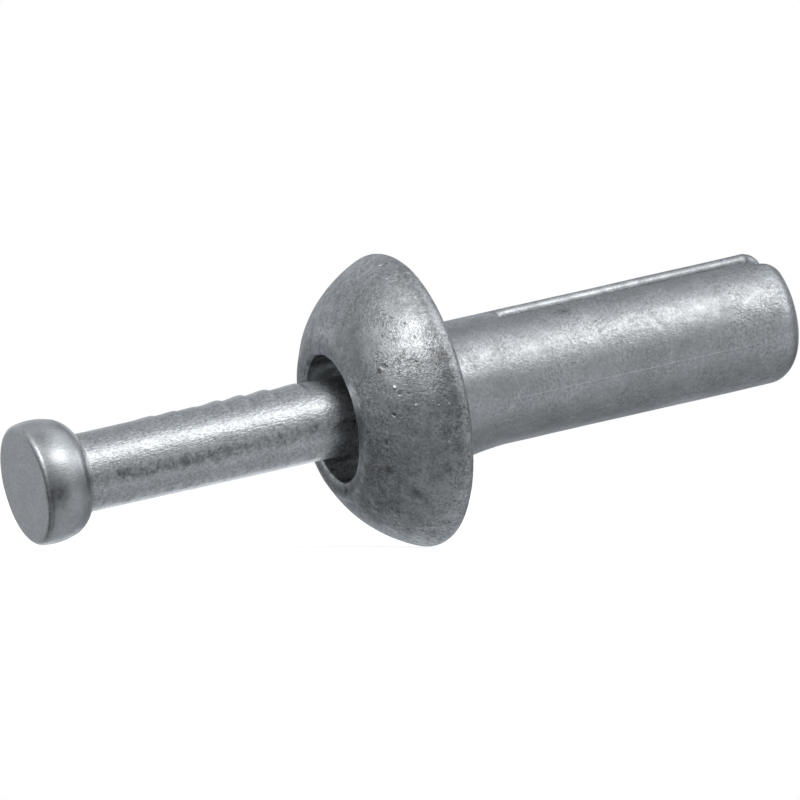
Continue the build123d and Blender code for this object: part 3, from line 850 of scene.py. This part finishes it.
def cast_zinc():
    mat = bpy.data.materials.new("die_cast_zinc")
    t = Tree(mat)
    coord = t.node("ShaderNodeTexCoord").outputs["Object"]
    out = t.node("ShaderNodeOutputMaterial")
    sh = t.node("ShaderNodeBsdfPrincipled")
    sh.inputs["Metallic"].default_value = 1.0
    tone_in = t.node("ShaderNodeAttribute", _attribute_name="tone").outputs["Fac"]
    rough_in = t.node("ShaderNodeAttribute", _attribute_name="grain").outputs["Fac"]
    grain = t.noise(coord, 7000.0, 1.5, 0.9)
    mottle = t.noise(coord, 1700.0, 3.0, 0.70, 0.15)
    cloud = t.noise(coord, 620.0, 2.0, 0.55, 0.5)
    stain = t.noise(coord, 230.0, 2.0, 0.5, 0.3)
    on_dome = t.remap(rough_in, 0.55, 1.0, 0.10, 1.0)
    # grain comes in patches, with smoother metal between
    patch = t.remap(t.noise(coord, 480.0, 2.0, 0.6, 0.4), 0.40, 0.60, 0.65, 1.30)
    amount = t.math("MULTIPLY", rough_in, patch)
    light = t.math("MULTIPLY", specks(t, coord, 1500.0, 0.10, 0.16), amount)
    dark = t.math("MULTIPLY", specks(t, coord, 1350.0, 0.12, 0.16), amount)
    # fine curved flow lines, here and there
    flow = t.math("ABSOLUTE", t.math("SUBTRACT", t.noise(coord, 800.0, 2.5, 0.55, 0.8), 0.5), 0.0)
    line = t.remap(flow, 0.003, 0.016, 1.0, 0.0, "SMOOTHSTEP")
    line = t.math("MULTIPLY", line, t.remap(t.noise(coord, 430.0, 1.0, 0.5), 0.54, 0.62, 0.0, 1.0))
    line = t.math("MULTIPLY", line, rough_in)
    # where the halves of the mould met: a ridge with a painted highlight along its crest and painted shade just beside
    # it, plus its bump
    seam_off = t.node("ShaderNodeAttribute", _attribute_name="seam_off").outputs["Fac"]
    seam_amount = t.node("ShaderNodeAttribute", _attribute_name="seam_amount").outputs["Fac"]
    ragged = t.math("ADD", seam_off, t.math("MULTIPLY", t.math("SUBTRACT", t.noise(coord, 900.0, 2.0, 0.5), 0.5), 0.06))
    edge = t.remap(t.math("ABSOLUTE", ragged, 0.0), 0.012, 0.050, 1.0, 0.0, "SMOOTHSTEP")
    edge = t.math("MULTIPLY", t.math("MULTIPLY", edge, seam_amount), t.remap(t.noise(coord, 700.0, 2.0, 0.6), 0.35, 0.62, 0.45, 1.1))
    below = t.remap(t.math("ABSOLUTE", t.math("SUBTRACT", ragged, 0.10), 0.0), 0.015, 0.060, 1.0, 0.0, "SMOOTHSTEP")
    below = t.math("MULTIPLY", below, seam_amount)
    # painted glints and painted shade of the small marks
    spot_tone, spot_height = placed(t, coord, FINE_MARKS, 0.024)
    v = t.math("MULTIPLY", tone_in, 0.61)
    v = t.math("MULTIPLY", v, around(t, grain, 1.5, amount))
    v = t.math("MULTIPLY", v, around(t, mottle, 1.15, on_dome))
    v = t.math("MULTIPLY", v, around(t, cloud, 0.45, rough_in))
    v = t.math("MULTIPLY", v, around(t, stain, 0.30))
    v = t.math("MULTIPLY", v, t.math("ADD", spot_tone, 1.0))
    v = t.math("ADD", v, t.math("MULTIPLY", light, 0.26))
    v = t.math("SUBTRACT", v, t.math("MULTIPLY", dark, 0.24))
    v = t.math("SUBTRACT", v, t.math("MULTIPLY", line, 0.10))
    v = t.math("ADD", v, t.math("MULTIPLY", edge, 0.20))
    v = t.math("SUBTRACT", v, t.math("MULTIPLY", below, 0.07))
    v = t.math("MINIMUM", t.math("MAXIMUM", v, 0.10), 0.95)
    t.link(tinted(t, v), sh.inputs["Base Color"])
    sh.inputs["Specular Tint"].default_value = (0.75, 0.76, 0.78, 1)
    t.link(t.remap(cloud, 0.30, 0.70, 0.38, 0.32), sh.inputs["Roughness"])
    micro = t.noise(coord, 9000.0, 1.5, 0.9)
    h = t.math("ADD", micro, t.math("MULTIPLY", light, 0.45))
    h = t.math("SUBTRACT", h, t.math("MULTIPLY", dark, 0.45))
    h = t.math("SUBTRACT", h, t.math("MULTIPLY", line, 0.18))
    h = t.math("ADD", h, t.math("MULTIPLY", edge, 0.50))
    h = t.math("ADD", h, spot_height)
    b = t.node("ShaderNodeBump")
    t.link(amount, b.inputs["Strength"])
    b.inputs["Distance"].default_value = 0.000020
    t.link(h, b.inputs["Height"])
    t.link(b.outputs["Normal"], sh.inputs["Normal"])
    t.link(sh.outputs["BSDF"], out.inputs["Surface"])
    return mat


def plated_steel():
    mat = bpy.data.materials.new("zinc_plated_steel")
    t = Tree(mat)
    coord = t.node("ShaderNodeTexCoord").outputs["Object"]
    out = t.node("ShaderNodeOutputMaterial")
    sh = t.node("ShaderNodeBsdfPrincipled")
    sh.inputs["Metallic"].default_value = 1.0
    tone_in = t.node("ShaderNodeAttribute", _attribute_name="tone").outputs["Fac"]
    rough_in = t.node("ShaderNodeAttribute", _attribute_name="grain").outputs["Fac"]
    turn = t.node("ShaderNodeMapping")
    turn.inputs["Rotation"].default_value = (0.0, math.atan2(AX[2], AX[0]), 0.0)
    t.link(coord, turn.inputs["Vector"])
    pull = t.node("ShaderNodeMapping")
    pull.inputs["Scale"].default_value = (0.34, 1.0, 1.0)
    t.link(turn.outputs["Vector"], pull.inputs["Vector"])
    drawn = pull.outputs["Vector"]
    grain = t.noise(coord, 7000.0, 1.5, 0.9)
    cloud = t.noise(coord, 900.0, 2.0, 0.6, 0.4)
    light = specks(t, coord, 2700.0, 0.16, 0.14)
    dark = specks(t, coord, 2500.0, 0.18, 0.14)
    v = t.math("MULTIPLY", tone_in, 0.72)
    v = t.math("MULTIPLY", v, around(t, grain, 1.4, rough_in))
    band_in = t.node("ShaderNodeAttribute", _attribute_name="band").outputs["Fac"]
    # the dark band along the front of the shank: wear mottling and a painted dark reflection
    worn_and_dark_reflection = t.remap(t.noise(coord, 1500.0, 3.0, 0.75, 0.1), 0.45, 0.62, 0.0, 1.0, "SMOOTHSTEP")
    v = t.math("MULTIPLY", v, t.math("SUBTRACT", 1.0, t.math("MULTIPLY", t.math("MULTIPLY", worn_and_dark_reflection, band_in), 0.42)))
    v = t.math("MULTIPLY", v, around(t, cloud, 0.30, rough_in))
    v = t.math("ADD", v, t.math("MULTIPLY", t.math("MULTIPLY", light, rough_in), 0.15))
    v = t.math("SUBTRACT", v, t.math("MULTIPLY", t.math("MULTIPLY", dark, rough_in), 0.15))
    v = t.math("MINIMUM", t.math("MAXIMUM", v, 0.12), 0.97)
    t.link(tinted(t, v), sh.inputs["Base Color"])
    t.link(t.remap(cloud, 0.30, 0.70, 0.32, 0.26), sh.inputs["Roughness"])
    micro = t.noise(drawn, 9000.0, 1.0, 0.9)
    h = t.math("ADD", micro, t.math("MULTIPLY", light, 0.20))
    b = t.node("ShaderNodeBump")
    t.link(rough_in, b.inputs["Strength"])
    b.inputs["Distance"].default_value = 0.000017
    t.link(h, b.inputs["Height"])
    t.link(b.outputs["Normal"], sh.inputs["Normal"])
    t.link(sh.outputs["BSDF"], out.inputs["Surface"])
    return mat


body.data.materials.append(cast_zinc())
nail.data.materials.append(plated_steel())
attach(body, "body")
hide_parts("anchor_body")
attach(nail, "nail")
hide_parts("drive_nail")

# --------------------------------------------------------------- camera
AZ = math.radians(-22.5)
ROLL = math.radians(0.35)
BACK = np.array([math.sin(AZ), -math.cos(AZ), 0.0])
RIGHT0 = np.array([math.cos(AZ), math.sin(AZ), 0.0])
UP0 = np.array([0.0, 0.0, 1.0])
RIGHT = math.cos(ROLL) * RIGHT0 + math.sin(ROLL) * UP0
UP = -math.sin(ROLL) * RIGHT0 + math.cos(ROLL) * UP0
PX = 20.992                               # pixels a millimetre at the anchor
LENS, SENSOR, SIZE = 1000.0, 36.0, 800
DIST = LENS / SENSOR * SIZE / PX * MM
centre = ORIGIN - MM * ((404.48 - 400) / PX * RIGHT + (400 - 400.29) / PX * UP)
cam = bpy.data.cameras.new("camera")
cam.lens, cam.sensor_width, cam.sensor_fit = LENS, SENSOR, "HORIZONTAL"
cam.clip_start, cam.clip_end = 0.05, 20.0
cam_ob = bpy.data.objects.new("camera", cam)
bpy.context.scene.collection.objects.link(cam_ob)
from mathutils import Matrix
loc = centre + DIST * BACK
cam_ob.matrix_world = Matrix(((RIGHT[0], UP[0], BACK[0], loc[0]),
                              (RIGHT[1], UP[1], BACK[1], loc[1]),
                              (RIGHT[2], UP[2], BACK[2], loc[2]),
                              (0, 0, 0, 1)))
bpy.context.scene.camera = cam_ob


def direction(right, up, front):
    v = right * RIGHT0 + up * UP0 + front * BACK
    return v / np.linalg.norm(v)


# --------------------------------------------------------------- stage
floor_me = bpy.data.meshes.new("floor")
F = 0.6
floor_me.from_pydata([(-F, -F, 0), (F, -F, 0), (F, F, 0), (-F, F, 0)], [], [(0, 1, 2, 3)])
floor = bpy.data.objects.new("floor", floor_me)
floor.location.z = -0.00002
bpy.context.scene.collection.objects.link(floor)
fm = bpy.data.materials.new("pale_floor")
fm.use_nodes = True
fb = fm.node_tree.nodes["Principled BSDF"]
fb.inputs["Base Color"].default_value = (0.86, 0.87, 0.88, 1)
fb.inputs["Roughness"].default_value = 0.9
fb.inputs["Specular IOR Level"].default_value = 0.1
fb.inputs["Emission Color"].default_value = (1, 1, 1, 1)
fb.inputs["Emission Strength"].default_value = 0.66
floor.data.materials.append(fm)
floor.visible_glossy = False

# --------------------------------------------------------------- light
world = bpy.data.worlds.new("studio")
bpy.context.scene.world = world
world.use_nodes = True
wt = Tree(world)
gen = wt.node("ShaderNodeTexCoord").outputs["Generated"]


def lobe(d, inner, outer, amount):
    """Soft patch of light round direction d; inner and outer are half angles in degrees."""
    n = wt.node("ShaderNodeVectorMath", _operation="DOT_PRODUCT")
    wt.link(gen, n.inputs[0])
    n.inputs[1].default_value = tuple(d)
    return wt.remap(n.outputs["Value"], math.cos(math.radians(outer)), math.cos(math.radians(inner)),
                    0.0, amount, "SMOOTHSTEP")


KEYS = [
    (direction(-0.46, 0.60, 0.65), 4, 15, 2.75),     # key light, upper left
    (direction(-0.46, 0.60, 0.65), 8, 48, 0.42),     # its spill
    (direction(0.47, 0.71, 0.52), 5, 22, 0.90),      # second light, upper right
    (direction(0.74, 0.50, 0.45), 8, 40, 0.16),      # its spill
]
ROOM = [
    (direction(0.0, 0.10, 1.0), 8, 50, 0.10),
    (direction(0.72, -0.46, 0.51), 8, 45, 0.13),
    (direction(0.707, 0.0, -0.707), 8, 48, 0.155),
    (direction(1.0, 0.0, 0.0), 8, 48, 0.125),
    (direction(0.707, 0.0, 0.707), 8, 48, 0.06),
    (direction(-0.707, 0.0, 0.707), 8, 48, 0.096),
    (direction(-1.0, 0.0, 0.0), 8, 48, 0.042),
    (direction(-0.707, 0.0, -0.707), 8, 48, 0.286),
    (direction(0.0, 0.707, -0.707), 8, 48, 0.233),
    (direction(0.707, 0.707, 0.0), 8, 48, 0.60),
    (direction(0.5, 0.707, 0.5), 8, 48, 0.16),
    (direction(-0.5, 0.707, 0.5), 8, 48, 0.166),
    (direction(-0.707, 0.707, 0.0), 8, 48, 0.181),
    (direction(-0.5, 0.707, -0.5), 8, 48, 0.054),
    (direction(0.0, -0.707, -0.707), 8, 48, 0.187),
    (direction(0.5, -0.707, -0.5), 8, 48, 0.056),
    (direction(0.707, -0.707, 0.0), 8, 48, 0.166),
    (direction(-0.5, -0.707, 0.5), 8, 48, 0.080),
    (direction(0.83, 0.50, -0.10), 5, 20, 0.60),
    (direction(0.0, 1.0, 0.0), 8, 45, 0.12),
    (direction(0.0, -1.0, 0.0), 8, 45, 0.07),
    (direction(0.0, 0.375, -0.927), 4, 24, 0.142),
    (direction(0.324, 0.187, -0.927), 4, 24, 0.371),
    (direction(0.0, -0.375, -0.927), 4, 24, 0.545),
    (direction(-0.324, 0.187, -0.927), 4, 24, 0.202),
]


def patches(lobes, start):
    total = start
    for d, a, b, c in lobes:
        total = wt.math("ADD", total, lobe(d, a, b, c))
    return total


lamps = wt.node("ShaderNodeBackground")
lamps.inputs["Color"].default_value = (1.0, 1.0, 1.0, 1)
wt.link(patches(KEYS, 0.0), lamps.inputs["Strength"])
walls = wt.node("ShaderNodeBackground")
walls.inputs["Color"].default_value = (0.952, 0.996, 1.052, 1)
wt.link(patches(ROOM, 0.064), walls.inputs["Strength"])
room = wt.node("ShaderNodeAddShader")
wt.link(lamps.outputs["Background"], room.inputs[0])
wt.link(walls.outputs["Background"], room.inputs[1])
pale = wt.node("ShaderNodeBackground")
pale.inputs["Color"].default_value = (1.0, 1.0, 1.0, 1)
pale.inputs["Strength"].default_value = 1.0
path = wt.node("ShaderNodeLightPath")
mix = wt.node("ShaderNodeMixShader")
wt.link(path.outputs["Is Camera Ray"], mix.inputs["Fac"])
wt.link(room.outputs["Shader"], mix.inputs[1])
wt.link(pale.outputs["Background"], mix.inputs[2])
wo = wt.node("ShaderNodeOutputWorld")
wt.link(mix.outputs["Shader"], wo.inputs["Surface"])

bpy.context.scene.view_settings.view_transform = "Standard"
bpy.context.scene.view_settings.look = "None"
